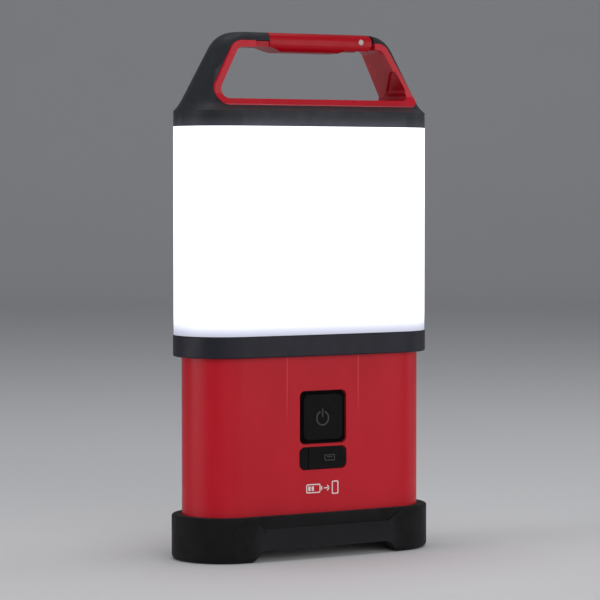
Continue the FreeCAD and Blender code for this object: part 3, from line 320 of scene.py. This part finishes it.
for name, width in ROUNDED.items():
    piece = nodes[name]
    weld = piece.modifiers.new("weld", "WELD")
    weld.merge_threshold = 2e-6
    if name not in CURVED:
        flat = piece.modifiers.new("flats", "DECIMATE")
        flat.decimate_type = "DISSOLVE"
        flat.angle_limit = math.radians(0.5)
    edge = piece.modifiers.new("edges", "BEVEL")
    edge.width = width * MM
    edge.segments = 3
    edge.limit_method = "ANGLE"
    edge.angle_limit = math.radians(28)
    edge.harden_normals = name not in CURVED
    if name in CURVED:
        piece.modifiers.new("even_shading", "WEIGHTED_NORMAL").weight = 50


# ---------------------------------------------------------------- moulded marks


def outline_piece(name, outlines, middle, thick, edge, body, look):
    """A flat raised mark on the front.

    The outlines are (x, z) in millimetres round middle, and the later ones cut holes.
    """
    curve = bpy.data.curves.new(name, "CURVE")
    curve.dimensions = "2D"
    curve.fill_mode = "BOTH"
    curve.extrude = (thick / 2 - edge) * MM
    curve.bevel_depth = edge * MM
    curve.bevel_resolution = 2
    curve.offset = -edge * MM
    for points in outlines:
        spline = curve.splines.new("POLY")
        spline.points.add(len(points) - 1)
        for point, (x, z) in zip(spline.points, points):
            point.co = (x * MM, z * MM, 0, 1)
        spline.use_cyclic_u = True
    drawn = bpy.data.objects.new(name, curve)
    bpy.context.scene.collection.objects.link(drawn)
    bpy.context.view_layer.update()
    mesh = bpy.data.meshes.new_from_object(drawn.evaluated_get(bpy.context.evaluated_depsgraph_get()))
    bpy.data.objects.remove(drawn)
    mesh.transform(Matrix.Translation(Vector(middle)) @ Matrix.Rotation(math.radians(90), 4, "X"))
    mesh.materials.clear()
    mesh.materials.append(look.material)
    piece = bpy.data.objects.new(name, mesh)
    bpy.context.scene.collection.objects.link(piece)
    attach(piece, body)


def arc(radius, start, end, count, centre=(0, 0)):
    turns = [math.radians(start + (end - start) * i / count) for i in range(count + 1)]
    return [(centre[0] + radius * math.cos(t), centre[1] + radius * math.sin(t)) for t in turns]


def stroke_arc(radius, width, start, end):
    """The outline of a thick arc with round ends."""
    tip = [(radius * math.cos(math.radians(a)), radius * math.sin(math.radians(a))) for a in (start, end)]
    outer = arc(radius + width / 2, start, end, 40)
    cap_end = arc(width / 2, end, end + 180, 8, tip[1])[1:-1]
    inner = arc(radius - width / 2, end, start, 40)
    cap_start = arc(width / 2, start + 180, start + 360, 8, tip[0])[1:-1]
    return outer + cap_end + inner + cap_start


def stroke_line(x0, z0, x1, z1, width):
    turn = math.degrees(math.atan2(z1 - z0, x1 - x0))
    first = arc(width / 2, turn + 90, turn + 270, 8, (x0, z0))
    last = arc(width / 2, turn - 90, turn + 90, 8, (x1, z1))
    return first + last


def rounded_box(width, height, radius, centre=(0, 0)):
    corners = ((1, 1, 0), (-1, 1, 90), (-1, -1, 180), (1, -1, 270))
    points = []
    for i, j, turn in corners:
        at = (centre[0] + i * (width / 2 - radius), centre[1] + j * (height / 2 - radius))
        points += arc(radius, turn, turn + 90, 6, at)
    return points


button_low, button_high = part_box("power_button")
button_middle = (-0.0006, button_low.y, (button_low.z + button_high.z) / 2 - 0.0006)
POWER_MARKS = {
    "power_mark_ring": [stroke_arc(3.9, 0.95, -245, 65)],
    "power_mark_bar": [stroke_line(0, 1.1, 0, 5.0, 0.95)],
}
for name, outlines in POWER_MARKS.items():
    outline_piece(name, outlines, button_middle, 0.5, 0.12, "button", LOOKS["mark"])

flap_low, flap_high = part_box("usb_cover")
flap_middle = (0.0040, flap_low.y, (flap_low.z + flap_high.z) / 2)
PORT_MARKS = {
    "port_mark_rim": [rounded_box(7.0, 3.6, 0.7), rounded_box(5.8, 2.4, 0.4)[::-1]],
    "port_mark_bar": [rounded_box(3.8, 0.6, 0.25, (0, 0.35))],
}
for name, outlines in PORT_MARKS.items():
    outline_piece(name, outlines, flap_middle, 0.3, 0.08, "port_cover", LOOKS["mark"])

# a printed pictogram under the port: battery, arrow, telephone
print_height = 0.0390
print_middle = (-0.0005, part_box("body_shell")[0].y, print_height)
PRINTED = {
    "print_battery": [rounded_box(9.4, 5.2, 0.9, (-6.0, 0)), rounded_box(8.1, 3.9, 0.5, (-6.0, 0))[::-1]],
    "print_terminal": [rounded_box(0.9, 2.2, 0.3, (-0.6, 0))],
    "print_charge_1": [rounded_box(1.5, 2.6, 0.2, (-8.6, 0))],
    "print_charge_2": [rounded_box(1.5, 2.6, 0.2, (-6.4, 0))],
    "print_arrow_stem": [stroke_line(1.2, 0, 4.6, 0, 0.65)],
    "print_arrow_high": [stroke_line(3.3, 1.3, 4.7, 0, 0.65)],
    "print_arrow_low": [stroke_line(3.3, -1.3, 4.7, 0, 0.65)],
    "print_telephone": [rounded_box(4.4, 7.6, 0.9, (8.4, 0)), rounded_box(3.1, 6.3, 0.5, (8.4, 0))[::-1]],
}
for name, outlines in PRINTED.items():
    outline_piece(name, outlines, print_middle, 0.08, 0.01, "lantern", LOOKS["print"])


# ---------------------------------------------------------------- studio


def studio_paper():
    """Pale matt paper, very slightly uneven."""
    colour = (0.72, 0.72, 0.73)
    look = Look("studio_paper", colour, 0.75, specular=0.2)
    patches = look.fit(look.noise(500, 4, 0.6), 0.35, 0.65)
    look.feed("Base Color", look.blend(patches, colour, tuple(c * 0.985 for c in colour)))
    look.bump(look.noise(2.0, 4), 0.05)
    return look


def sweep_floor():
    """A floor that curves up into a wall behind the object."""
    mesh = bmesh.new()
    bend_start, bend = 3.0, 1.5
    profile = [(-6, 0), (bend_start, 0)]
    for turn in range(6, 91, 6):
        angle = math.radians(turn)
        profile.append((bend_start + bend * math.sin(angle), bend - bend * math.cos(angle)))
    profile += [(4.5, 6)]
    rows = [[mesh.verts.new((x, y, z)) for x in (-9, 9)] for y, z in profile]
    for low, high in zip(rows, rows[1:]):
        mesh.faces.new((low[0], low[1], high[1], high[0]))
    data = bpy.data.meshes.new("studio_sweep")
    mesh.to_mesh(data)
    mesh.free()
    data.polygons.foreach_set("use_smooth", [True] * len(data.polygons))
    data.materials.append(studio_paper().material)
    floor = bpy.data.objects.new("studio_sweep", data)
    bpy.context.scene.collection.objects.link(floor)
    floor.rotation_euler = (0, 0, math.radians(AZIMUTH))


def lamp(name, place, target, wide, tall, watts):
    data = bpy.data.lights.new(name, "AREA")
    data.shape = "RECTANGLE"
    data.size = wide
    data.size_y = tall
    data.energy = watts
    item = bpy.data.objects.new(name, data)
    bpy.context.scene.collection.objects.link(item)
    item.location = place
    item.rotation_mode = "QUATERNION"
    item.rotation_quaternion = (Vector(place) - Vector(target)).to_track_quat("Z", "Y")


def around(azimuth, distance, height):
    """A place at that bearing from the object: 0 is in front of it, 90 at its right."""
    turn = math.radians(azimuth)
    return (distance * math.sin(turn), -distance * math.cos(turn), height)


AZIMUTH = -30.8
ELEVATION = 2.54
DISTANCE = 1.577
AIM_HEIGHT = 0.1445
AIM_LEFT = 0.00058

sweep_floor()
lamp("key_left", around(-92, 1.5, 0.40), (0, 0, 0.13), 0.35, 1.2, 5.5)
lamp("low_left", around(-110, 1.0, 0.06), (0, 0, 0.27), 0.4, 0.1, 0.8)
lamp("front_fill", around(-12, 2.2, 0.9), (0, 0, 0.12), 1.6, 1.3, 16)
lamp("front_sheen", around(31, 1.6, 0.35), (0, 0, 0.13), 0.9, 0.5, 5)
lamp("right_edge", around(80, 1.5, 0.5), (0, 0, 0.13), 0.3, 1.2, 2.5)
lamp("overhead", (0, 0.1, 1.8), (0, 0, 0.1), 1.5, 1.5, 10)

world = bpy.data.worlds.new("studio_air")
bpy.context.scene.world = world
world.use_nodes = True
world.node_tree.nodes["Background"].inputs["Color"].default_value = (0.9, 0.93, 1.0, 1)
world.node_tree.nodes["Background"].inputs["Strength"].default_value = 0.22

bpy.context.scene.view_settings.view_transform = "Standard"

camera_data = bpy.data.cameras.new("camera")
camera_data.sensor_width = 36
camera_data.lens = 165.5
camera_data.clip_start = 0.05
camera_data.clip_end = 50
camera = bpy.data.objects.new("camera", camera_data)
bpy.context.scene.collection.objects.link(camera)
bpy.context.scene.camera = camera
bearing, tilt = math.radians(AZIMUTH), math.radians(ELEVATION)
back = Vector((math.sin(bearing) * math.cos(tilt), -math.cos(bearing) * math.cos(tilt), math.sin(tilt)))
right = Vector((math.cos(bearing), math.sin(bearing), 0))
aim = Vector((0, 0, AIM_HEIGHT)) - right * AIM_LEFT
camera.location = aim + back * DISTANCE
camera.rotation_mode = "QUATERNION"
camera.rotation_quaternion = back.to_track_quat("Z", "Y")
